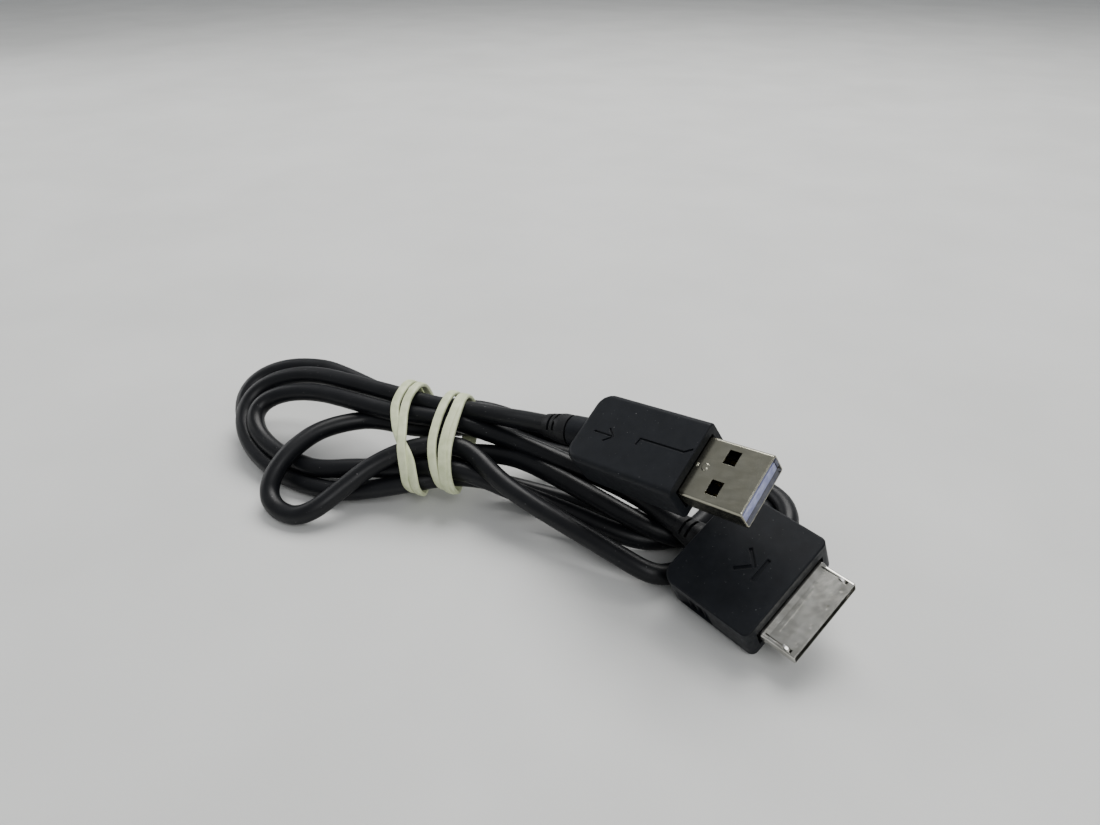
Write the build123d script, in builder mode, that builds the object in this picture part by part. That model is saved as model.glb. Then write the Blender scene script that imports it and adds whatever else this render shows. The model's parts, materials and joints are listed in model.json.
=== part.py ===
"""A data and charge cable, folded into a flat hank and held by two rubber bands.

One end is a USB-A plug, the other a wide flat plug with a row of contacts and two sprung
latches. The hank lies on a surface at Z = 0, with its loops towards -X and both plugs
towards +X. Lengths are in millimetres.
"""

from build123d import *
from math import cos, pi, radians, sin, tan
import os

os.makedirs("parts", exist_ok=True)

# ------------------------------------------------------------------ driving dimensions
CORD_D = 4.0              # outside diameter of the jacketed cord
WIRE_D = 0.9              # insulated conductor
CLEAR = 0.5               # air left between the hank and the plug lying on it

# Where each plug lies: the centre of its metal shell at the hood's front face,
# then its turn about Z, its rise towards the tip and its roll about its own length.
USB_AT, USB_TURN, USB_RISE, USB_ROLL = (21.3, -1.2, 26.2), -17.9, 9.1, 31.1
MULTI_AT, MULTI_TURN, MULTI_RISE, MULTI_ROLL = (40.6, -5.7, 8.6), -22.9, -1.0, 26.5

# USB-A plug
USB_W, USB_T, USB_WALL = 12.0, 4.5, 0.3       # shell width, thickness and sheet
USB_OUT, USB_IN = 12.3, 7.5                   # shell length outside and inside the hood
USB_WINDOW = (2.35, 2.8)                      # latch windows, along and across
USB_WINDOW_X, USB_WINDOW_Y = 5.72, 3.05
USB_HOOD_L, USB_HOOD_W, USB_HOOD_T = 24.9, 15.4, 8.4
USB_HOOD_REAR_W = 15.2
USB_HOOD_CORNER, USB_HOOD_EDGE, USB_HOOD_FRONT = 3.1, 1.1, 0.3
USB_NECK_D, USB_NECK_L = 6.1, 4.2
USB_NECK_BORE = 5.1
USB_NECK_TURN, USB_NECK_RISE = -10.8, 10.6    # the neck gives a little where it leaves the hood
USB_RELIEF_D, USB_RELIEF_L = 6.0, 6.6         # collar behind the neck
USB_CORE_END = 16.0                           # where the jacket is stripped, behind the face
CONTACT_Y = (3.5, 1.0, -1.0, -3.5)

# wide plug
SHELL_W, SHELL_T, SHELL_WALL = 16.6, 2.2, 0.25
SHELL_OUT, SHELL_IN = 6.75, 8.0
ROOT_W, ROOT_T, ROOT_OUT = 16.9, 2.8, 0.4     # thicker root of the shell
STEP_L = 0.9                                  # slope from the root down to the shell
RIB_H, DIMPLE_H = 0.13, 0.17                  # pressed line and dimples in the shell's top
HOOD_L, HOOD_W = 19.1, 22.0
HOOD_TOP, HOOD_FRONT_DROP, HOOD_REAR_DROP = 4.3, 4.3, 3.3
HOOD_CORNER, HOOD_FRONT_CORNER = 2.8, 1.3
SCOOP_R, SCOOP_DEPTH, SCOOP_H = 9.0, 0.8, 4.8   # finger scoop in each side
SCOOP_X = -12.2
RELIEF_D, RELIEF_L = 5.8, 5.9
CORE_END = 15.0
PIN_COUNT, PIN_PITCH = 20, 0.6
LATCH_Y, LATCH_W, LATCH_T = 7.55, 0.8, 0.3
LATCH_ROOT, LATCH_TIP = -5.4, 5.2             # hinge line and free end
SLOT_W, SLIT_W = 0.65, 0.25

# hank of cord: a slanting plane, x along the hank and y up across its strands
HANK_AT, HANK_TILT = (0, -5.8, 5.4), 30
LAYERS_T = 8.4                                # two strands deep
WAIST_LOW, WAIST_HIGH = 0.4, 23.6             # edges of the tied part, across the strands
WAIST_START, WAIST_END = -51.5, -28.0
BAND_T, BAND_W = 1.1, 3.2                     # both turns of one rubber band
BANDS = {"rubber_band_rear": (-42.5, 22), "rubber_band_front": (-34.0, 12)}  # x and slant


# ------------------------------------------------------------------------ placing planes
def plug_plane(at, turn, rise, roll):
    """Plane through a plug: x along its length to the tip, z out of its top face."""
    start = Plane(origin=at)
    return Plane(start.location * Location((0, 0, 0), (0, 0, turn))
                 * Location((0, 0, 0), (0, -rise, 0)) * Location((0, 0, 0), (roll, 0, 0)))


def across(plug, x):
    """Plane square to a plug's length, its x across the plug and its y up."""
    return Plane(origin=plug.from_local_coords(Vector(x, 0, 0)), x_dir=plug.y_dir, z_dir=plug.x_dir)


def side_on(plug):
    """Plane through a plug's middle, seen from its side."""
    return Plane(origin=plug.origin, x_dir=plug.x_dir, z_dir=-plug.y_dir)


def behind(plug, x):
    """Point on a plug's axis, x behind its hood's front face."""
    return tuple(plug.from_local_coords(Vector(-x, 0, 0)))


USB = plug_plane(USB_AT, USB_TURN, USB_RISE, USB_ROLL)
NECK = plug_plane(behind(USB, USB_HOOD_L), USB_NECK_TURN, USB_NECK_RISE, USB_ROLL)
MULTI = plug_plane(MULTI_AT, MULTI_TURN, MULTI_RISE, MULTI_ROLL)
HANK = Plane(origin=HANK_AT, x_dir=(1, 0, 0),
             z_dir=(0, -sin(radians(HANK_TILT)), cos(radians(HANK_TILT))))
ALONG_X = (0, 90, 0)      # turns a cylinder to lie along a plug

pieces = {}


def keep(name, part):
    """Label a finished piece and list it for export."""
    part.label = name
    pieces[name] = part


# ============================================================================ USB-A plug
with BuildPart() as usb_shell:
    with BuildSketch(across(USB, -USB_IN)):
        RectangleRounded(USB_W, USB_T, 0.6)
        RectangleRounded(USB_W - 2 * USB_WALL, USB_T - 2 * USB_WALL, 0.35, mode=Mode.SUBTRACT)
    extrude(amount=USB_IN + USB_OUT)
    with BuildSketch(USB):
        with Locations((USB_WINDOW_X, USB_WINDOW_Y), (USB_WINDOW_X, -USB_WINDOW_Y)):
            Rectangle(*USB_WINDOW)
    extrude(amount=USB_T, both=True, mode=Mode.SUBTRACT)
    mouth = usb_shell.faces().sort_by(Axis(USB.origin, USB.x_dir))[-1]
    chamfer(mouth.outer_wire().edges(), 0.16)
    with BuildSketch(USB.offset(USB_T / 2)):
        with Locations((0.45, 0)):
            Circle(0.4)
        with Locations((2.1, 0)):
            Ellipse(0.6, 0.8)
    extrude(amount=0.22, taper=38)
keep("usb_shell", usb_shell.part)

TONGUE_TOP = -0.1
CONTACT_T = 0.25
TAIL_END = -9.6
contacts = {}
for name, y, reach in zip(("usb_contact_power", "usb_contact_data_minus",
                           "usb_contact_data_plus", "usb_contact_ground"),
                          CONTACT_Y, (10.8, 9.8, 9.8, 10.8)):
    with BuildPart(USB) as contact:
        with Locations(((reach + TAIL_END) / 2, y, TONGUE_TOP - CONTACT_T / 2)):
            Box(reach - TAIL_END, 1.0, CONTACT_T)
    contacts[name] = contact.part
    keep(name, contact.part)

with BuildPart() as usb_tongue:
    with BuildSketch(across(USB, -6.8)):
        RectangleRounded(USB_W - 2 * USB_WALL - 0.1, USB_T - 2 * USB_WALL - 0.04, 0.4)
    extrude(amount=6.8 + 11.4)
    with Locations(USB), Locations((5.9 + 0.2, 0, TONGUE_TOP + 1.5)):
        Box(11.8, USB_W, 3.0, mode=Mode.SUBTRACT)
    for solid in contacts.values():
        add(solid, mode=Mode.SUBTRACT)
keep("usb_tongue", usb_tongue.part)

# The stripped cord: the jacket ends inside the hood and four conductors fan out.
NECK_REAR = USB_NECK_L + USB_RELIEF_L
with BuildPart() as usb_jacket_end:
    with Locations(USB), Locations((-(USB_HOOD_L + USB_CORE_END) / 2, 0, 0)):
        Cylinder(CORD_D / 2, USB_HOOD_L - USB_CORE_END, rotation=ALONG_X)
    with Locations(NECK):
        Sphere(CORD_D / 2)
    with Locations(NECK), Locations((-NECK_REAR / 2, 0, 0)):
        Cylinder(CORD_D / 2, NECK_REAR, rotation=ALONG_X)
keep("usb_jacket_end", usb_jacket_end.part)

with BuildPart(USB) as usb_crimp_ring:
    with Locations((-USB_CORE_END - 2.2, 0, 0)):
        Cylinder(CORD_D / 2 + 0.35, 2.2, rotation=ALONG_X)
        Cylinder(CORD_D / 2, 2.2, rotation=ALONG_X, mode=Mode.SUBTRACT)
keep("usb_crimp_ring", usb_crimp_ring.part)

WIRE_COLOURS = ("red", "white", "green", "black")
CORE_PLACES = ((0.62, 0.62), (0.62, -0.62), (-0.62, 0.62), (-0.62, -0.62))


def wire(plug, x_front, y_front, z_front, x_rear, place):
    """One insulated conductor, from its solder joint back to the stripped jacket."""
    with BuildPart() as strand:
        with BuildSketch(across(plug, x_rear)):
            with Locations(place):
                Circle(WIRE_D / 2)
        with BuildSketch(across(plug, x_front)):
            with Locations((y_front, z_front)):
                Circle(WIRE_D / 2)
        loft()
    return strand.part


usb_wires = {}
for colour, y, place in zip(WIRE_COLOURS, CONTACT_Y, CORE_PLACES):
    usb_wires["usb_wire_" + colour] = wire(USB, TAIL_END - 0.05, y, 0, -USB_CORE_END, place)
for name, solid in usb_wires.items():
    keep(name, solid)

with BuildPart(USB) as usb_solder_joints:
    for y in CONTACT_Y:
        with Locations((TAIL_END + 0.5, y, TONGUE_TOP + 0.25)):
            Box(1.0, 0.8, 0.5)
keep("usb_solder_joints", usb_solder_joints.part)

with BuildPart() as usb_inner_mould:
    with Locations(USB), Locations((-(USB_IN + USB_CORE_END) / 2, 0, 0)):
        Box(USB_CORE_END - USB_IN, 11.0, 5.4)
    for solid in (*contacts.values(), *usb_wires.values(), usb_solder_joints.part):
        add(solid, mode=Mode.SUBTRACT)
keep("usb_inner_mould", usb_inner_mould.part)

with BuildPart() as usb_strain_relief:
    with BuildSketch(side_on(NECK)):
        with BuildLine():
            Polyline((0, 0), (0, USB_NECK_BORE / 2), (-USB_NECK_L - 0.5, USB_NECK_BORE / 2),
                     (-USB_NECK_L - 0.5, USB_RELIEF_D / 2), (-USB_NECK_L - 2.4, USB_RELIEF_D / 2),
                     (-NECK_REAR, CORD_D / 2 + 0.3), (-NECK_REAR, 0), close=True)
        make_face()
    revolve(axis=Axis(NECK.origin, NECK.x_dir))
    for x in (3.4, 4.8):
        with Locations(NECK), Locations((-USB_NECK_L - x, 0, 2.1), (-USB_NECK_L - x, 0, -2.1)):
            Box(0.6, 4.0, 1.4, mode=Mode.SUBTRACT)
    add(usb_jacket_end.part, mode=Mode.SUBTRACT)
keep("usb_strain_relief", usb_strain_relief.part)

with BuildPart() as usb_hood:
    with BuildSketch(USB.offset(-USB_HOOD_T / 2)):
        with BuildLine():
            Polyline((0, -USB_HOOD_W / 2), (0, USB_HOOD_W / 2),
                     (-USB_HOOD_L, USB_HOOD_REAR_W / 2), (-USB_HOOD_L, -USB_HOOD_REAR_W / 2),
                     close=True)
        make_face()
    extrude(amount=USB_HOOD_T)
    up, along = Axis(USB.origin, USB.z_dir), Axis(USB.origin, USB.x_dir)
    fillet(usb_hood.edges().filter_by(up).sort_by(along)[:2], USB_HOOD_CORNER)
    for face in (usb_hood.faces().sort_by(up)[-1], usb_hood.faces().sort_by(up)[0]):
        fillet(face.edges().sort_by(along)[:-1], USB_HOOD_EDGE)
    fillet(usb_hood.faces().sort_by(along)[-1].edges(), USB_HOOD_FRONT)
    with Locations(NECK), Locations((1 - USB_NECK_L / 2, 0, 0)):
        Cylinder(USB_NECK_D / 2, USB_NECK_L + 2, rotation=ALONG_X)
    # pocket and shallow recess for the shell
    with Locations(USB), Locations((-USB_IN / 2, 0, 0)):
        Box(USB_IN, USB_W, USB_T, mode=Mode.SUBTRACT)
    with Locations(USB), Locations((0, 0, 0)):
        Box(1.0, USB_W + 0.5, USB_T + 0.5, mode=Mode.SUBTRACT)
    with Locations(USB), Locations((-(USB_IN + USB_CORE_END) / 2, 0, 0)):
        Box(USB_CORE_END - USB_IN, 11.0, 5.4, mode=Mode.SUBTRACT)
    with Locations(USB), Locations((-(USB_CORE_END + USB_HOOD_L) / 2, 0, 0)):
        Cylinder(CORD_D / 2, USB_HOOD_L - USB_CORE_END, rotation=ALONG_X, mode=Mode.SUBTRACT)
    for solid in (usb_strain_relief.part, usb_jacket_end.part, usb_crimp_ring.part):
        add(solid, mode=Mode.SUBTRACT)
    # stepped groove and a plain arrow, pressed into the top
    with BuildSketch(USB.offset(USB_HOOD_T / 2)):
        with BuildLine():
            Polyline((-11.4, -1.0), (-11.1, 0.4), (-1.8, 0.5), (-0.4, 1.5))
        trace(line_width=0.38)
    extrude(amount=-0.3, mode=Mode.SUBTRACT)
    with BuildSketch(USB.offset(USB_HOOD_T / 2)):
        with BuildLine():
            Polyline((-21.2, -0.9), (-16.8, -0.9))
        trace(line_width=0.35)
        with BuildLine():
            Polyline((-18.3, 0.5), (-16.6, -0.9), (-18.3, -2.3))
        trace(line_width=0.35)
    extrude(amount=-0.25, mode=Mode.SUBTRACT)
keep("usb_hood", usb_hood.part)

# ============================================================================= wide plug
with BuildPart() as multi_shell:
    with BuildSketch(across(MULTI, -SHELL_IN)):
        RectangleRounded(ROOT_W, ROOT_T, 0.5)
    extrude(amount=SHELL_IN + ROOT_OUT)
    with BuildSketch(across(MULTI, ROOT_OUT)):
        RectangleRounded(ROOT_W, ROOT_T, 0.5)
    with BuildSketch(across(MULTI, ROOT_OUT + STEP_L)):
        RectangleRounded(SHELL_W, SHELL_T, 0.45)
    loft()
    with BuildSketch(across(MULTI, ROOT_OUT + STEP_L)):
        RectangleRounded(SHELL_W, SHELL_T, 0.45)
    extrude(amount=SHELL_OUT - ROOT_OUT - STEP_L)
    with BuildSketch(across(MULTI, -SHELL_IN)):
        RectangleRounded(SHELL_W - 2 * SHELL_WALL, SHELL_T - 2 * SHELL_WALL, 0.25)
    extrude(amount=SHELL_IN + SHELL_OUT, mode=Mode.SUBTRACT)
    mouth = multi_shell.faces().sort_by(Axis(MULTI.origin, MULTI.x_dir))[-1]
    chamfer(mouth.outer_wire().edges(), 0.12)
    # pressed line, four dimples and the latch slots, all in the top wall
    with BuildSketch(MULTI.offset(SHELL_T / 2)):
        with Locations((2.1, 0)):
            SlotOverall(11.9, 0.36, rotation=90)
    extrude(amount=RIB_H)
    with BuildSketch(MULTI.offset(SHELL_T / 2)):
        with Locations(*[(5.75, y) for y in (-6.0, -2.1, 2.1, 6.0)]):
            Circle(0.36)
    extrude(amount=-DIMPLE_H, mode=Mode.SUBTRACT)
    with BuildSketch(MULTI):
        for y in (-LATCH_Y, LATCH_Y):
            with Locations((2.45, y)):
                Rectangle(3.5, SLIT_W)
            with Locations((4.95, y)):
                Rectangle(1.7, SLOT_W)
    extrude(amount=ROOT_T, mode=Mode.SUBTRACT)
keep("multi_shell", multi_shell.part)

# Two sprung latches, one at each end of the row: a strip under the top wall with a hook
# that stands up through its slot.
for name, y in (("latch_near", -LATCH_Y), ("latch_far", LATCH_Y)):
    with BuildPart(MULTI) as latch:
        with BuildSketch(side_on(MULTI).offset(-y)):
            with BuildLine():
                Polyline((LATCH_ROOT, 0.35), (LATCH_TIP, 0.35), (LATCH_TIP, 0.65),
                         (LATCH_ROOT, 0.65), close=True)
            make_face()
        extrude(amount=LATCH_W / 2, both=True)
        with BuildSketch(side_on(MULTI).offset(-y)):
            with BuildLine():
                Polyline((4.15, 0.6), (5.1, 0.6), (5.1, 1.1), (4.6, 1.45), (4.15, 1.45), close=True)
            make_face()
        extrude(amount=0.22, both=True)
    keep(name, latch.part)

with BuildPart(MULTI) as multi_contacts:
    pin_y = [PIN_PITCH * (i - (PIN_COUNT - 1) / 2) for i in range(PIN_COUNT)]
    with Locations(*[(-2.1, y, -0.2) for y in pin_y]):
        Box(15.0, 0.3, 0.15)
keep("multi_contacts", multi_contacts.part)

INNER_W, INNER_T = SHELL_W - 2 * SHELL_WALL - 0.1, SHELL_T - 2 * SHELL_WALL - 0.04
with BuildPart() as multi_tongue:
    with BuildSketch(across(MULTI, -8.0)):
        RectangleRounded(INNER_W, INNER_T, 0.3)
    extrude(amount=2.4)
    with Locations(MULTI), Locations((-2.9, 0, 0)):
        Box(5.6, 13.2, INNER_T)
    with Locations(MULTI), Locations((2.9, 0, (-INNER_T / 2 - 0.125) / 2)):
        Box(6.2, 13.2, INNER_T / 2 - 0.125)
    add(multi_contacts.part, mode=Mode.SUBTRACT)
keep("multi_tongue", multi_tongue.part)

with BuildPart(MULTI) as multi_jacket_end:
    with Locations((-(HOOD_L + RELIEF_L + CORE_END) / 2, 0, 0)):
        Cylinder(CORD_D / 2, HOOD_L + RELIEF_L - CORE_END, rotation=ALONG_X)
keep("multi_jacket_end", multi_jacket_end.part)

with BuildPart(MULTI) as multi_crimp_ring:
    with Locations((-CORE_END - 1.0, 0, 0)):
        Cylinder(CORD_D / 2 + 0.35, 1.4, rotation=ALONG_X)
        Cylinder(CORD_D / 2, 1.4, rotation=ALONG_X, mode=Mode.SUBTRACT)
keep("multi_crimp_ring", multi_crimp_ring.part)

SOLDERED_PINS = (2, 7, 12, 17)
with BuildPart(MULTI) as multi_solder_joints:
    with Locations(*[(-9.2, pin_y[i], 0.1) for i in SOLDERED_PINS]):
        Box(0.8, 0.45, 0.45)
keep("multi_solder_joints", multi_solder_joints.part)

multi_wires = {}
for colour, pin, place in zip(WIRE_COLOURS, reversed(SOLDERED_PINS), CORE_PLACES):
    multi_wires["multi_wire_" + colour] = wire(MULTI, -9.65, pin_y[pin], 0.1, -CORE_END, place)
for name, solid in multi_wires.items():
    keep(name, solid)

with BuildPart() as multi_inner_mould:
    with Locations(MULTI), Locations((-(SHELL_IN + CORE_END) / 2, 0, 0)):
        Box(CORE_END - SHELL_IN, 15.4, 4.4)
    for solid in (multi_contacts.part, *multi_wires.values(), multi_solder_joints.part):
        add(solid, mode=Mode.SUBTRACT)
keep("multi_inner_mould", multi_inner_mould.part)

with BuildPart() as multi_strain_relief:
    with BuildSketch(side_on(MULTI)):
        with BuildLine():
            Polyline((-HOOD_L + 2, 0), (-HOOD_L + 2, 2.6), (-HOOD_L, 2.6), (-HOOD_L, RELIEF_D / 2),
                     (-HOOD_L - 1.4, RELIEF_D / 2), (-HOOD_L - RELIEF_L, CORD_D / 2 + 0.3),
                     (-HOOD_L - RELIEF_L, 0), close=True)
        make_face()
    revolve(axis=Axis(MULTI.origin, MULTI.x_dir))
    for x in (2.6, 4.1):
        with Locations(MULTI), Locations((-HOOD_L - x, 0, 2.2), (-HOOD_L - x, 0, -2.2)):
            Box(0.6, 4.0, 1.4, mode=Mode.SUBTRACT)
    add(multi_jacket_end.part, mode=Mode.SUBTRACT)
keep("multi_strain_relief", multi_strain_relief.part)

with BuildPart() as multi_hood:
    with BuildSketch(side_on(MULTI)):
        with BuildLine():
            Polyline((0, -HOOD_FRONT_DROP), (0, HOOD_TOP), (-HOOD_L, HOOD_TOP),
                     (-HOOD_L, -HOOD_REAR_DROP), close=True)
        make_face()
    extrude(amount=HOOD_W / 2, both=True)
    up, along = Axis(MULTI.origin, MULTI.z_dir), Axis(MULTI.origin, MULTI.x_dir)
    fillet(multi_hood.edges().filter_by(up).sort_by(along)[:2], HOOD_CORNER)
    fillet(multi_hood.edges().filter_by(up).sort_by(along)[-2:], HOOD_FRONT_CORNER)
    fillet(multi_hood.faces().sort_by(up)[0].edges(), 1.1)
    chamfer(multi_hood.faces().sort_by(up)[-1].edges(), 0.22)
    # finger scoops with three ribs in each side, between the top and bottom edges
    for side in (-1, 1):
        with Locations(MULTI), Locations((SCOOP_X, side * (HOOD_W / 2 + SCOOP_R - SCOOP_DEPTH), 0)):
            Cylinder(SCOOP_R, SCOOP_H, mode=Mode.SUBTRACT)
        ribs = [(SCOOP_X + step, side * (HOOD_W / 2 - SCOOP_DEPTH), 0) for step in (-1.7, 0, 1.7)]
        with Locations(MULTI), Locations(*ribs):
            Cylinder(0.4, SCOOP_H)
    # recess in the front face, pockets for the shell and the inner parts, and the bores
    with Locations(MULTI), Locations((0, 0, 0)):
        Box(1.8, ROOT_W + 0.9, ROOT_T + 0.9, mode=Mode.SUBTRACT)
    with Locations(MULTI), Locations((-SHELL_IN / 2, 0, 0)):
        Box(SHELL_IN, ROOT_W, ROOT_T, mode=Mode.SUBTRACT)
    with Locations(MULTI), Locations((-(SHELL_IN + CORE_END) / 2, 0, 0)):
        Box(CORE_END - SHELL_IN, 15.4, 4.4, mode=Mode.SUBTRACT)
    with Locations(MULTI), Locations((-(CORE_END + HOOD_L) / 2, 0, 0)):
        Cylinder(CORD_D / 2, HOOD_L - CORE_END, rotation=ALONG_X, mode=Mode.SUBTRACT)
    with Locations(MULTI), Locations((-HOOD_L + 1, 0, 0)):
        Cylinder(2.6, 2, rotation=ALONG_X, mode=Mode.SUBTRACT)
    add(multi_crimp_ring.part, mode=Mode.SUBTRACT)
    # plain chevron and bar, pressed into the top
    with BuildSketch(MULTI.offset(HOOD_TOP)):
        with BuildLine():
            Polyline((-9.6, 2.4), (-7.0, 0), (-9.6, -2.4))
        trace(line_width=0.7)
        with BuildLine():
            Polyline((-5.6, 2.4), (-5.6, -2.4))
        trace(line_width=0.7)
    extrude(amount=-0.3, mode=Mode.SUBTRACT)
keep("multi_hood", multi_hood.part)


# ================================================================================== cord
def cord_tube(name, points):
    """Cord along straight runs joined by tangent arcs, each as wide as its runs allow."""
    corners = [Vector(*p) for p in points]
    radii = []
    for before, corner, after in zip(corners, corners[1:], corners[2:]):
        run_in, run_out = corner - before, after - corner
        turn = radians(run_in.get_angle(run_out))
        radii.append(0.45 * min(run_in.length, run_out.length) / tan(turn / 2))
    with BuildPart() as tube:
        with BuildLine():
            path = FilletPolyline(*corners, radius=radii)
        with BuildSketch(Plane(origin=path @ 0, z_dir=path % 0)):
            Circle(CORD_D / 2)
        sweep(path=path)
    section = pi * (CORD_D / 2) ** 2
    print(name, "length", round(path.length, 1), "radii", [round(r, 1) for r in radii],
          "volume / (section x length)", round(tube.part.volume / (section * path.length), 4))
    return tube.part


# from the USB strain relief, and from the wide plug's, to the tied waist of the hank
multi_rear = HOOD_L + RELIEF_L
USB_LEAD = [behind(NECK, NECK_REAR), behind(NECK, NECK_REAR + 5), (-23.4, 10.4, 18.2),
            (-28.6, 11.8, 17.5)]
MULTI_LEAD = [behind(MULTI, multi_rear), behind(MULTI, multi_rear + 4.5), (8.2, 8.0, 9.8),
              (1.0, 9.1, 10.8), (-7.0, 9.2, 11.9), (-15.5, 9.5, 13.1), (-22.5, 9.1, 14.1),
              (-28.6, 8.6, 14.8)]
keep("usb_lead", cord_tube("usb_lead", USB_LEAD))
keep("multi_lead", cord_tube("multi_lead", MULTI_LEAD))

WAIST_MID, WAIST_W = (WAIST_LOW + WAIST_HIGH) / 2, WAIST_HIGH - WAIST_LOW
LAYER_R = LAYERS_T / 2 - 0.05


def waist_plane(x):
    """Plane square to the strands at x, its x up across them."""
    return Plane(origin=HANK.from_local_coords(Vector(x, WAIST_MID, 0)),
                 x_dir=HANK.y_dir, z_dir=HANK.x_dir)


def hank_point(x, up, out):
    """A corner of a section through the hank, as the plane's own two coordinates."""
    place = HANK.from_local_coords(Vector(x, up, out))
    return (place.Y, place.Z)


# The loops towards -X, seen square to the hank: three tall ones, and a smaller one in front.
TALL_LOOPS = [(-46, -1.6), (-57, -8.0), (-66, -9.0), (-78, -6.0), (-89, 0.5), (-94.2, 8.0),
              (-92, 17), (-82, 22.5), (-68, 24), (-50.5, 23.4)]
FRONT_LOOP = [(-44, 2.0), (-50, -9.0), (-54, -16.6), (-61, -17.0), (-69, -10.5), (-69, -1.0),
              (-62, 9.5), (-48, 14.5)]
FRONT_LOOP_OUT = (-2.0, 6.4)          # its faces, square to the hank

# Sections through the plug end: a slanting layer at the waist, flat loops at the far end.
SLANT_END = [hank_point(0, 2.0, -4.15), hank_point(0, 17.5, -4.15),
             hank_point(0, 17.5, -1.5), hank_point(0, 2.0, -1.5)]
PLUG_END = {WAIST_END - 0.2: SLANT_END,
            0: [(-4.5, 0), (31, 0), (31, 5.4), (-4.5, 6.4)],
            18: [(-4.5, 0), (33.8, 0), (33.8, 6.0), (-4.5, 5.0)],
            37.4: [(8, 0), (30, 0), (30, 6.4), (8, 5.6)]}

with BuildPart() as cord_hank:
    with BuildSketch(waist_plane(WAIST_START)):
        RectangleRounded(WAIST_W, LAYERS_T, LAYER_R)
    extrude(amount=WAIST_END - WAIST_START)
    with BuildSketch(HANK.offset(-LAYERS_T / 2)) as tall:
        with BuildLine():
            Polyline(*TALL_LOOPS, close=True)
        make_face()
        fillet(tall.vertices(), 2.5)
    extrude(amount=LAYERS_T)
    with BuildSketch(HANK.offset(FRONT_LOOP_OUT[0])) as front:
        with BuildLine():
            Polyline(*FRONT_LOOP, close=True)
        make_face()
        fillet(front.vertices(), 2.5)
    extrude(amount=FRONT_LOOP_OUT[1] - FRONT_LOOP_OUT[0])
    for x, corners in PLUG_END.items():
        with BuildSketch(Plane(origin=(x, 0, 0), x_dir=(0, 1, 0), z_dir=(1, 0, 0))):
            with BuildLine():
                Polyline(*corners, close=True)
            make_face()
    loft(ruled=True)
    # room for the plug that lies on the loops, and nothing below the surface
    with BuildSketch(MULTI.offset(-HOOD_FRONT_DROP - CLEAR)):
        with Locations((-HOOD_L / 2, 0)):
            Rectangle(HOOD_L + 2 * CLEAR, HOOD_W + 2 * CLEAR)
    extrude(amount=20, mode=Mode.SUBTRACT)
    split(bisect_by=Plane.XY, keep=Keep.TOP)
keep("cord_hank", cord_hank.part)

# ========================================================================== rubber bands
for name, (x, slant) in BANDS.items():
    with BuildPart(HANK) as band:
        with BuildSketch(waist_plane(x - 9)):
            RectangleRounded(WAIST_W + 2 * BAND_T, LAYERS_T + 2 * BAND_T, LAYER_R + BAND_T)
            RectangleRounded(WAIST_W, LAYERS_T, LAYER_R, mode=Mode.SUBTRACT)
        extrude(amount=18)
        with Locations(Location((x, WAIST_MID, 0), (0, 0, slant))):
            Box(BAND_W, 2 * WAIST_W, 2 * LAYERS_T, mode=Mode.INTERSECT)
    keep(name, band.part)

for name, part in pieces.items():
    export_step(part, f"parts/{name}.step")
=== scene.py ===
"""Looks of a folded data cable: one flexible cord wound into a flat hank between a USB-A
plug and a wide flat plug, held by two doubled rubber bands.

Points are written in millimetres, as in the CAD source, and turned into metres when used.
"""

import json
from math import copysign, cos, pi, radians, sin

import bmesh
import bpy
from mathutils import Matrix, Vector


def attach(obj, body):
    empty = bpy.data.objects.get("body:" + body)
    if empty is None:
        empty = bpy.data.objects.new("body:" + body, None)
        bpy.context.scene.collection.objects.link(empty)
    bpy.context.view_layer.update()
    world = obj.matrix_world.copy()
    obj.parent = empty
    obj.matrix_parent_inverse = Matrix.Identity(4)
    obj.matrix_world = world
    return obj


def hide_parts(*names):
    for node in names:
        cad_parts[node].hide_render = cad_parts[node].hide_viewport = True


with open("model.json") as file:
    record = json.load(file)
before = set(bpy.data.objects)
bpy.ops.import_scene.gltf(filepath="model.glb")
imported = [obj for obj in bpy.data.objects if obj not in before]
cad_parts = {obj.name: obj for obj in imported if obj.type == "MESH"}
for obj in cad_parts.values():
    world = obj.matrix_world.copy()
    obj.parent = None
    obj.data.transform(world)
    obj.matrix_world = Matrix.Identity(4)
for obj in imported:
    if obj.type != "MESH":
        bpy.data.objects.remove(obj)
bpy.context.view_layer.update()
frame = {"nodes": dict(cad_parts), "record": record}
MM = 0.001

# ------------------------------------------------------------------------------- camera
CAMERA_AT = (50.8, -115.1, 108.2)
CAMERA_TURN = (58.5, 0, 27)
CAMERA_LENS, SENSOR_W = 27.07, 36
CAMERA_NEAR = 5               # nearest distance the camera shows

camera_data = bpy.data.cameras.new("camera")
camera_data.lens = CAMERA_LENS
camera_data.sensor_width = SENSOR_W
camera_data.clip_start = CAMERA_NEAR * MM
camera = bpy.data.objects.new("camera", camera_data)
camera.location = Vector(CAMERA_AT) * MM
camera.rotation_euler = [radians(a) for a in CAMERA_TURN]
bpy.context.collection.objects.link(camera)
bpy.context.scene.camera = camera


# ------------------------------------------------------------------------------- lights
WORLD_TONE, WORLD_STRENGTH = (0.82, 0.84, 0.86, 1), 0.42


def soft_light(name, at, aim, size, power, colour=(1, 1, 1)):
    """A square area light at one point, facing another: places and size in metres."""
    data = bpy.data.lights.new(name, "AREA")
    data.size = size
    data.energy = power
    data.color = colour
    lamp = bpy.data.objects.new(name, data)
    lamp.location = at
    lamp.rotation_euler = (Vector(aim) - Vector(at)).to_track_quat("-Z", "Y").to_euler()
    bpy.context.collection.objects.link(lamp)


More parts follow.
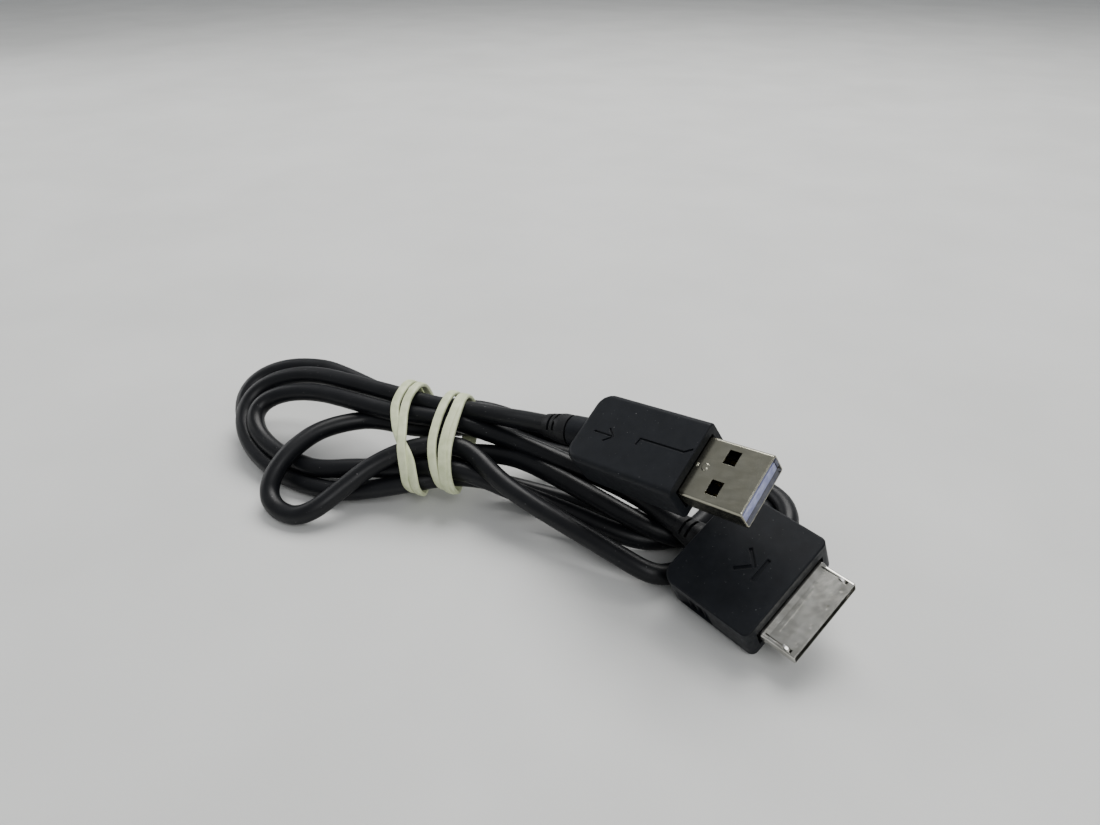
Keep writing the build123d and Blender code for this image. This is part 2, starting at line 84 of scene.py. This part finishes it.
soft_light("key_light", (-0.10, 0.45, 0.75), (-0.02, 0, 0), 0.6, 9.0, (1, 0.99, 0.97))
soft_light("fill_light", (0.48, -0.45, 0.62), (0, 0, 0), 0.5, 3.4)
soft_light("side_light", (-0.7, 0.05, 0.25), (-0.04, 0, 0), 0.4, 1.1)
world = bpy.data.worlds.new("studio")
world.use_nodes = True
background = world.node_tree.nodes["Background"]
background.inputs["Color"].default_value = WORLD_TONE
background.inputs["Strength"].default_value = WORLD_STRENGTH
bpy.context.scene.world = world


# ---------------------------------------------------------------------------- materials
PATCH_LEVELS = (0.35, 0.65)   # noise levels between which the two tones mix
GLOSS_LEVELS = (0.3, 0.7)     # noise levels between which the roughness changes
GLOSS_PATCH = 0.37            # size of the gloss patches, as a share of the tone's
SPECK_LEVELS = (0.74, 0.78)   # noise levels where a speck of dust begins and is full
SHADE_FADE_L = 0.4                  # length over which the painted shade colour takes over
EDGE_SAMPLES = 4


def node(tree, kind, inputs=(), **settings):
    """A shader node with its settings and its inputs: a number, a colour or a link."""
    made = tree.nodes.new("ShaderNode" + kind)
    for key, value in settings.items():
        setattr(made, key, value)
    for key, value in dict(inputs).items():
        if isinstance(value, bpy.types.NodeSocket):
            tree.links.new(value, made.inputs[key])
        else:
            made.inputs[key].default_value = value
    return made


def noise(tree, where, size, detail=3.0, rough=0.55):
    """Noise with features of about the given size in millimetres."""
    return node(tree, "TexNoise", {"Vector": where, "Scale": 1 / (size * MM), "Detail": detail,
                                   "Roughness": rough}).outputs["Fac"]


def spread(tree, value, start, end, low, high):
    """A value between two levels, stretched to another range."""
    return node(tree, "MapRange", {"Value": value, "From Min": start, "From Max": end,
                                   "To Min": low, "To Max": high}).outputs["Result"]


def blend(tree, factor, first, second):
    """Two colours mixed by a factor."""
    mixed = node(tree, "Mix", data_type="RGBA")
    tree.links.new(factor, mixed.inputs[0])
    for socket, colour in ((mixed.inputs[6], first), (mixed.inputs[7], second)):
        if isinstance(colour, bpy.types.NodeSocket):
            tree.links.new(colour, socket)
        else:
            socket.default_value = (*colour, 1)
    return mixed.outputs[2]


def surface(name, tones, gloss, patch, grain, relief, dust=None, stretch=None, edge=0.0,
            painted_shade=None, **fixed):
    """A procedural finish.

    tones: two colours mixed in patches of the size patch; gloss: lowest and highest
    roughness; grain and relief: size and height of the fine bump; dust: colour and size of
    the specks; stretch: turn and scale that draw the grain out in one direction; edge:
    radius of the softened edges; painted_shade: a direction, a place along it and the colour
    of the painted shade behind that place; fixed: values set on the shader's own sockets.
    """
    made = bpy.data.materials.new(name)
    made.use_nodes = True
    tree = made.node_tree
    shader = tree.nodes["Principled BSDF"]
    place = node(tree, "TexCoord").outputs["Object"]
    drawn = place
    if stretch:
        turn, scale = stretch
        drawn = node(tree, "Mapping", {"Vector": place, "Scale": scale,
                                       "Rotation": [radians(a) for a in turn]}).outputs["Vector"]
    patches = noise(tree, place, patch)
    fine = noise(tree, drawn, grain)
    colour = blend(tree, spread(tree, patches, *PATCH_LEVELS, 0, 1), *tones)
    rough = spread(tree, noise(tree, drawn, patch * GLOSS_PATCH, 5.0), *GLOSS_LEVELS, *gloss)
    # painted shade: past a place along a direction the colour turns dark, standing in for the shade
    # inside a part
    if painted_shade:
        direction, start, tone = painted_shade
        along = node(tree, "VectorMath", {0: place, 1: direction}, operation="DOT_PRODUCT")
        behind = spread(tree, along.outputs["Value"], start * MM, (start - SHADE_FADE_L) * MM, 0, 1)
        colour = blend(tree, behind, colour, tone)
    if dust:
        dust_tone, speck = dust
        specks = spread(tree, noise(tree, place, speck, 2.0), *SPECK_LEVELS, 0, 1)
        colour = blend(tree, specks, colour, dust_tone)
        rough = node(tree, "Math", {0: rough, 1: specks}, operation="MAXIMUM").outputs[0]
    tree.links.new(colour, shader.inputs["Base Color"])
    tree.links.new(rough, shader.inputs["Roughness"])
    bump = node(tree, "Bump", {"Height": fine, "Strength": 1.0, "Distance": relief * MM})
    if edge:
        softened = node(tree, "Bevel", {"Radius": edge * MM},
                        samples=EDGE_SAMPLES).outputs["Normal"]
        tree.links.new(softened, bump.inputs["Normal"])
    tree.links.new(bump.outputs["Normal"], shader.inputs["Normal"])
    for key, value in fixed.items():
        shader.inputs[key.replace("_", " ")].default_value = value
    return made


DUST = (0.20, 0.20, 0.20)
USB_GRAIN = ((0, 9.1, 17.9), (0.12, 1, 1))     # brushed along the USB plug
WIDE_GRAIN = ((0, -1.0, 22.9), (0.5, 1, 1))    # and along the wide one
USB_AXIS = (0.9396, -0.3035, 0.1582)
TONGUE_PAINTED_SHADE = (USB_AXIS, 34.6, (0.006, 0.006, 0.007))   # painted shade: the tongue is darkened behind its end, where the shell around it shades it
FINISHES = {
    "hood_plastic": surface("hood_plastic", ((0.0042, 0.0053, 0.0075), (0.0066, 0.0080, 0.0108)),
                            (0.40, 0.55), 3.0, 0.16, 0.012, (DUST, 0.3), edge=0.22,
                            Specular_IOR_Level=0.17),
    "relief_rubber": surface("relief_rubber", ((0.0045, 0.0048, 0.0058), (0.008, 0.0085, 0.010)),
                             (0.42, 0.58), 2.0, 0.2, 0.012, (DUST, 0.3), edge=0.15,
                             Specular_IOR_Level=0.22),
    "cord_jacket": surface("cord_jacket", ((0.0036, 0.0040, 0.0052), (0.0060, 0.0066, 0.0082)),
                           (0.33, 0.45), 9.0, 0.45, 0.010, (DUST, 0.45),
                           Specular_IOR_Level=0.26),
    "plug_nickel": surface("plug_nickel", ((0.325, 0.315, 0.25), (0.365, 0.355, 0.29)),
                           (0.18, 0.27), 2.4, 0.12, 0.0012, None, USB_GRAIN, 0.1, Metallic=1.0),
    "wide_plug_steel": surface("wide_plug_steel", ((0.46, 0.45, 0.41), (0.62, 0.61, 0.57)),
                               (0.16, 0.26), 2.2, 0.5, 0.003, ((0.20, 0.19, 0.16), 0.4),
                               WIDE_GRAIN, 0.06, Metallic=1.0),
    "latch_steel": surface("latch_steel", ((0.62, 0.61, 0.58), (0.78, 0.77, 0.75)),
                           (0.12, 0.26), 0.8, 0.2, 0.003, None, WIDE_GRAIN, 0.06, Metallic=1.0),
    "contact_gold": surface("contact_gold", ((0.50, 0.38, 0.13), (0.60, 0.47, 0.19)),
                            (0.16, 0.32), 0.8, 0.1, 0.002, None, USB_GRAIN, 0.05, Metallic=1.0),
    # the tongue's blue plastic, with painted shade over the part inside the shell
    "tongue_plastic": surface("tongue_plastic", ((0.30, 0.32, 0.56), (0.46, 0.49, 0.72)),
                              (0.25, 0.4), 1.0, 0.15, 0.004, edge=0.1, painted_shade=TONGUE_PAINTED_SHADE),
    "black_insulator": surface("black_insulator", ((0.006, 0.006, 0.007), (0.012, 0.012, 0.014)),
                               (0.3, 0.45), 1.2, 0.12, 0.004, edge=0.08),
    "crimp_metal": surface("crimp_metal", ((0.48, 0.48, 0.47), (0.62, 0.62, 0.60)),
                           (0.25, 0.45), 0.9, 0.15, 0.005, edge=0.08, Metallic=1.0),
    "inner_mould": surface("inner_mould", ((0.50, 0.48, 0.42), (0.60, 0.58, 0.51)),
                           (0.45, 0.6), 1.5, 0.2, 0.01, edge=0.15),
    "solder": surface("solder", ((0.42, 0.43, 0.45), (0.60, 0.61, 0.63)),
                      (0.3, 0.55), 0.5, 0.2, 0.02, edge=0.12, Metallic=1.0),
    "wire_red": surface("wire_red", ((0.45, 0.02, 0.015), (0.60, 0.035, 0.025)),
                        (0.35, 0.5), 1.0, 0.15, 0.004),
    "wire_white": surface("wire_white", ((0.68, 0.68, 0.64), (0.80, 0.80, 0.77)),
                          (0.35, 0.5), 1.0, 0.15, 0.004),
    "wire_green": surface("wire_green", ((0.02, 0.26, 0.06), (0.04, 0.36, 0.09)),
                          (0.35, 0.5), 1.0, 0.15, 0.004),
    "wire_black": surface("wire_black", ((0.012, 0.012, 0.012), (0.022, 0.022, 0.022)),
                          (0.35, 0.5), 1.0, 0.15, 0.004),
    "band_rubber": surface("band_rubber", ((0.53, 0.58, 0.36), (0.67, 0.71, 0.48)),
                           (0.40, 0.55), 2.2, 0.22, 0.02, ((0.46, 0.45, 0.33), 0.5)),
}
SLOT_OF = {row["node"]: row["material_slot"] for row in frame["record"]["subparts"]}
for name, slot in SLOT_OF.items():
    part = frame["nodes"][name]
    part.data.materials.clear()
    part.data.materials.append(FINISHES[slot])


# -------------------------------------------------------------------------------- floor
def add_mesh(name, points, faces, finish, smooth=True):
    """A mesh object from points in millimetres."""
    mesh = bpy.data.meshes.new(name)
    mesh.from_pydata([tuple(Vector(p) * MM) for p in points], [], faces)
    mesh.materials.append(finish)
    mesh.polygons.foreach_set("use_smooth", [smooth] * len(mesh.polygons))
    mesh.update()
    made = bpy.data.objects.new(name, mesh)
    bpy.context.collection.objects.link(made)
    return made


FLOOR_REACH = 3000            # half the floor's side
floor_finish = surface("floor", ((0.60, 0.605, 0.595), (0.645, 0.65, 0.64)), (0.6, 0.75),
                       60.0, 2.0, 0.05)
floor = add_mesh("floor", [(x * FLOOR_REACH, y * FLOOR_REACH, 0)
                           for x, y in ((-1, -1), (1, -1), (1, 1), (-1, 1))],
                 [(0, 1, 2, 3)], floor_finish, False)

# --------------------------------------------------------------------------------- cord
CORD_D = 4.0
HANK_AT, HANK_TILT = (0, -5.8, 5.4), radians(30)


def hank(x, up, out):
    """A point in the slanting plane of the hank: along it, up across it, out of it."""
    return (x, HANK_AT[1] + up * cos(HANK_TILT) - out * sin(HANK_TILT),
            HANK_AT[2] + up * sin(HANK_TILT) + out * cos(HANK_TILT))


def bend(centre, radii, tilt, start, end, out_start, out_end, steps):
    """Points round part of an ellipse in the plane of the hank."""
    points = []
    for step in range(steps + 1):
        share = step / steps
        angle = radians(start + (end - start) * share)
        long, short = radii[0] * cos(angle), radii[1] * sin(angle)
        points.append(hank(centre[0] + long * cos(radians(tilt)) - short * sin(radians(tilt)),
                           centre[1] + long * sin(radians(tilt)) + short * cos(radians(tilt)),
                           out_start + (out_end - out_start) * share))
    return points


# The route runs from the USB plug to the wide one. First the two leads, from the waist to
# each plug, and the three folds behind the plugs.
USB_EXIT = (-12.52, 8.35, 20.28)
USB_LEAD = [USB_EXIT, (-17.35, 9.27, 19.36), (-23.6, 10.0, 18.1), (-30.5, 10.2, 17.5)]
WIDE_LEAD = [(-28.6, 8.6, 14.4), (-22.5, 9.1, 13.6), (-15.5, 9.4, 12.7), (-7.0, 9.2, 11.5),
             (1.0, 9.1, 10.4), (8.2, 8.0, 9.6), (13.43, 5.78, 9.11), (17.57, 4.03, 9.04)]
SHORT_TIP = [(-22, 5.6, 4.6), (-16, 8, 3), (-10, 9.4, 2.2), (-4, 10, 2.05), (2, 10, 2.05),
             (7.6, 10.6, 2.05), (11.2, 13.6, 2.05), (12.2, 18.6, 2.05), (9.6, 23.6, 2.05),
             (3.5, 26, 2.05), (-5, 25, 2.2), (-13, 21.5, 4.2), (-20.5, 16.5, 7.8)]
LONG_TIP = [(-27.9, 3.4, 12.5), (-19.2, -0.3, 10.1), (-12, -1.6, 8.4), (-5, -2.4, 7),
            (2, -3.3, 5.8), (9.2, -4.3, 4.5), (15.2, -4.7, 3.1), (18.5, -2.2, 2.2),
            (21.7, 3.2, 2.05), (29.5, 8.8, 2.3), (34.5, 14, 3.2), (35.2, 20.5, 4.2), (32, 26.8, 4.4),
            (26, 30.6, 3.6), (18.5, 31.6, 2.3), (10, 31, 2.05), (2, 30.4, 2.05),
            (-6, 28.6, 2.4), (-14, 24.8, 5.4), (-21.5, 20, 10.2)]
MIDDLE_TIP = [(-21.5, 7.9, 10.4), (-15.8, 7.5, 10.4), (-8.2, 6, 9.9), (-1, 5.1, 8.8),
              (6, 4.2, 7.5), (12, 4, 6.2), (17, 5.8, 4.4), (22, 9.4, 3.4), (27, 14, 3),
              (30.3, 19, 3), (29.8, 24, 2.8), (25.6, 26.7, 2.3), (21.4, 25, 2.05),
              (19.3, 20, 2.05), (18.4, 14.2, 2.05), (15.8, 8.1, 2.2), (10.8, 3.9, 2.7),
              (4, 2.7, 3.7), (-4, 3, 4.6), (-12, 2.6, 5.5), (-18, 1.8, 6.9), (-23, 1.3, 8)]

# Between them the strands go through the waist, at x -52 to -28, round the loops beyond it.
cord_points = [
    *USB_LEAD,
    # middle loop of the three, then down through the waist
    hank(-38.8, 19.0, 1.9), hank(-48.0, 19.0, 1.7),
    *bend((-64.5, 6.2), (22.1, 12.5), -6.2, 97, 280, 1.7, 0, 11),
    hank(-51.5, -5.3, -0.1), hank(-44.4, -1.8, -0.4), hank(-38.5, 1.6, -0.9),
    hank(-33.4, 5.2, -2.2), hank(-28, 7.6, -3.3),
    *SHORT_TIP,
    # the small loop that stands out in front of the others
    hank(-28, 19.6, -2.6), hank(-36, 17.2, -2.3), hank(-44, 14, -1.9),
    hank(-54.5, 13.4, -1.5), hank(-59.4, 10, 0.5), hank(-63, 5.5, 2.8),
    hank(-64.6, 0.8, 4.3), hank(-65.4, -3.7, 5.2), hank(-65.5, -8.5, 5.2),
    hank(-64.1, -12.2, 4.9), hank(-60.8, -14.3, 4.7), hank(-56.7, -14.6, 4.6),
    hank(-53.8, -13.3, 4.6), hank(-51.5, -10.7, 4.6), hank(-48.9, -4.9, 4.2),
    hank(-45.6, 1.6, 3.8), hank(-40, 7.6, 3.2), hank(-33.6, 11.0, 2.2),
    *LONG_TIP,
    # the outermost loop
    hank(-29, 23.2, -2.2), hank(-38, 21.8, -2.3), hank(-46, 19.8, -2.3), hank(-53, 19.6, -2.3),
    *bend((-69.3, 10.0), (22.3, 12.4), -6, 100, 280, -2.2, -2.2, 11),
    hank(-52.5, 1.2, -2.4), hank(-45, 6.2, -2.4), hank(-37, 9.9, -2.4), hank(-29, 12.8, -2.4),
    *MIDDLE_TIP,
    # the innermost loop, and along the top of the waist
    hank(-28, 7.2, 0.1), hank(-33, 6.1, 0.9), hank(-38.5, 4.8, 0.6), hank(-44, 2.8, -0.2),
    hank(-50.5, 1, 0.6),
    *bend((-63.4, 5.9), (18.8, 8.6), -1.3, -75, -265, 1.3, 2.1, 11),
    hank(-50.1, 14.5, 2), hank(-42.7, 15.6, 2), hank(-35, 16.7, 1.7),
    *WIDE_LEAD,
]
cord_line = bpy.data.curves.new("cord", "CURVE")
cord_line.dimensions = "3D"
cord_line.resolution_u = 8
cord_line.bevel_depth = CORD_D / 2 * MM
cord_line.bevel_resolution = 6
cord_line.use_fill_caps = True
strand = cord_line.splines.new("NURBS")
strand.points.add(len(cord_points) - 1)
for point, at in zip(strand.points, cord_points):
    point.co = (*(Vector(at) * MM), 1)
strand.order_u = 3
strand.use_endpoint_u = True
cord_line.materials.append(FINISHES["cord_jacket"])
cord = bpy.data.objects.new("cord", cord_line)
bpy.context.collection.objects.link(cord)
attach(cord, "root")
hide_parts("cord_hank", "usb_lead", "multi_lead")

# -------------------------------------------------------------------------- rubber bands
BAND_W, BAND_T = 1.95, 0.95
WAIST_POWER = 2.6              # roundness of the tied waist's section: 2 is an ellipse
BAND_POWER = 0.5               # squareness of the band's own section: 1 is an ellipse
SECTION_STEPS = 12
TURN_STEPS = 72


def rounded_pair(angle, power):
    """Cosine and sine of an angle, drawn towards a rounded square."""
    return [copysign(abs(value) ** power, value) for value in (cos(angle), sin(angle))]


def curve_through(table, value):
    """A smooth value between rows of (place, value, lift), the places falling."""
    for row in range(len(table) - 1):
        if value >= table[row + 1][0] or row == len(table) - 2:
            break
    near = [table[min(max(row + k, 0), len(table) - 1)] for k in (-1, 0, 1, 2)]
    share = (near[1][0] - value) / (near[1][0] - near[2][0])
    share = min(max(share, 0), 1)
    result = []
    for column in (1, 2):
        a, b, c, d = (r[column] for r in near)
        result.append(b + 0.5 * share * (c - a + share * (2 * a - 5 * b + 4 * c - d
                                                          + share * (3 * (b - c) + d - a))))
    return result


def band_track(middle, half_height, half_depth, turns):
    """Places along a band and the way it faces there, in the axes of the hank."""
    track = []
    for turn, table in enumerate(turns):
        following = turns[(turn + 1) % len(turns)]
        for step in range(TURN_STEPS):
            angle = 2 * pi * step / TURN_STEPS
            up, out = rounded_pair(angle, 2 / WAIST_POWER)
            height = middle + half_height * up
            if angle <= pi:
                x, lift = curve_through(table, height)
            else:
                share = (angle - pi) / pi
                share = share * share * (3 - 2 * share)
                x = table[-1][1] + (following[0][1] - table[-1][1]) * share
                lift = table[-1][2] + (following[0][2] - table[-1][2]) * share
            slope = Vector((0, up * half_depth, out * half_height)).normalized()
            track.append((Vector((x, height, half_depth * out)) + slope * (lift + BAND_T / 2),
                          slope))
    return track


def rubber_band(name, middle, half_height, half_depth, turns):
    """A flat rubber band wound round the waist, one table of places for each front run."""
    track = band_track(middle, half_height, half_depth, turns)
    points, faces = [], []
    count = len(track)
    for index, (at, outward) in enumerate(track):
        along = (track[(index + 1) % count][0] - track[index - 1][0]).normalized()
        side = along.cross(outward).normalized()
        face_out = side.cross(along)
        for corner in range(SECTION_STEPS):
            angle = 2 * pi * (corner + 0.5) / SECTION_STEPS
            wide, thick = rounded_pair(angle, BAND_POWER)
            points.append(hank(*(at + side * wide * BAND_W / 2 + face_out * thick * BAND_T / 2)))
            following = (index + 1) % count
            beside = (corner + 1) % SECTION_STEPS
            faces.append((index * SECTION_STEPS + corner, following * SECTION_STEPS + corner,
                          following * SECTION_STEPS + beside, index * SECTION_STEPS + beside))
    band = add_mesh(name + "_loops", points, faces, FINISHES["band_rubber"])
    shape = bmesh.new()
    shape.from_mesh(band.data)
    bmesh.ops.recalc_face_normals(shape, faces=shape.faces)
    shape.to_mesh(band.data)
    shape.free()
    rounded = band.modifiers.new("rounded", "SUBSURF")
    rounded.levels = rounded.render_levels = 1
    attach(band, "root")
    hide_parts(name)


# Rows of the front runs: place up across the hank, place along it, height over the cords.
REAR_RUNS = [
    [(23, -48.4, 0), (17, -47.7, 0), (14.6, -47, 0), (11.2, -44.9, 0), (8.5, -42.5, 0),
     (5, -38.3, 0), (2.5, -36.4, 0), (0.4, -35.4, 0)],
    [(23, -46.0, 0), (17, -45.3, 0), (13.1, -43.9, 0.1), (9.1, -41.6, 0.8), (6.4, -40.3, 0.9),
     (3.6, -38.8, 0.5), (2, -38, 0.2), (0.4, -37.6, 0)],
]
FRONT_RUNS = [
    [(23.2, -37.4, 0), (18, -36.7, 0), (14, -36, 0), (10, -35, 0), (7, -33.7, 0),
     (5, -32.5, 0), (3.2, -31.4, 0)],
    [(23.2, -34.9, 0), (17, -33.5, 0.2), (13.4, -32.9, 0.3), (9, -31.8, 0.3), (6.3, -30.7, 0.3),
     (4.6, -29.9, 0.3), (3.2, -29.4, 0.3)],
    [(23.2, -34.5, 0), (17.7, -33, 0), (13.4, -32, 0), (9.4, -31, 0), (6.5, -30, 0),
     (4.6, -29.2, 0), (3.2, -28.6, 0)],
]
rubber_band("rubber_band_rear", 11.7, 11.1, 4.9, REAR_RUNS)
rubber_band("rubber_band_front", 13.1, 9.8, 4.9, FRONT_RUNS)
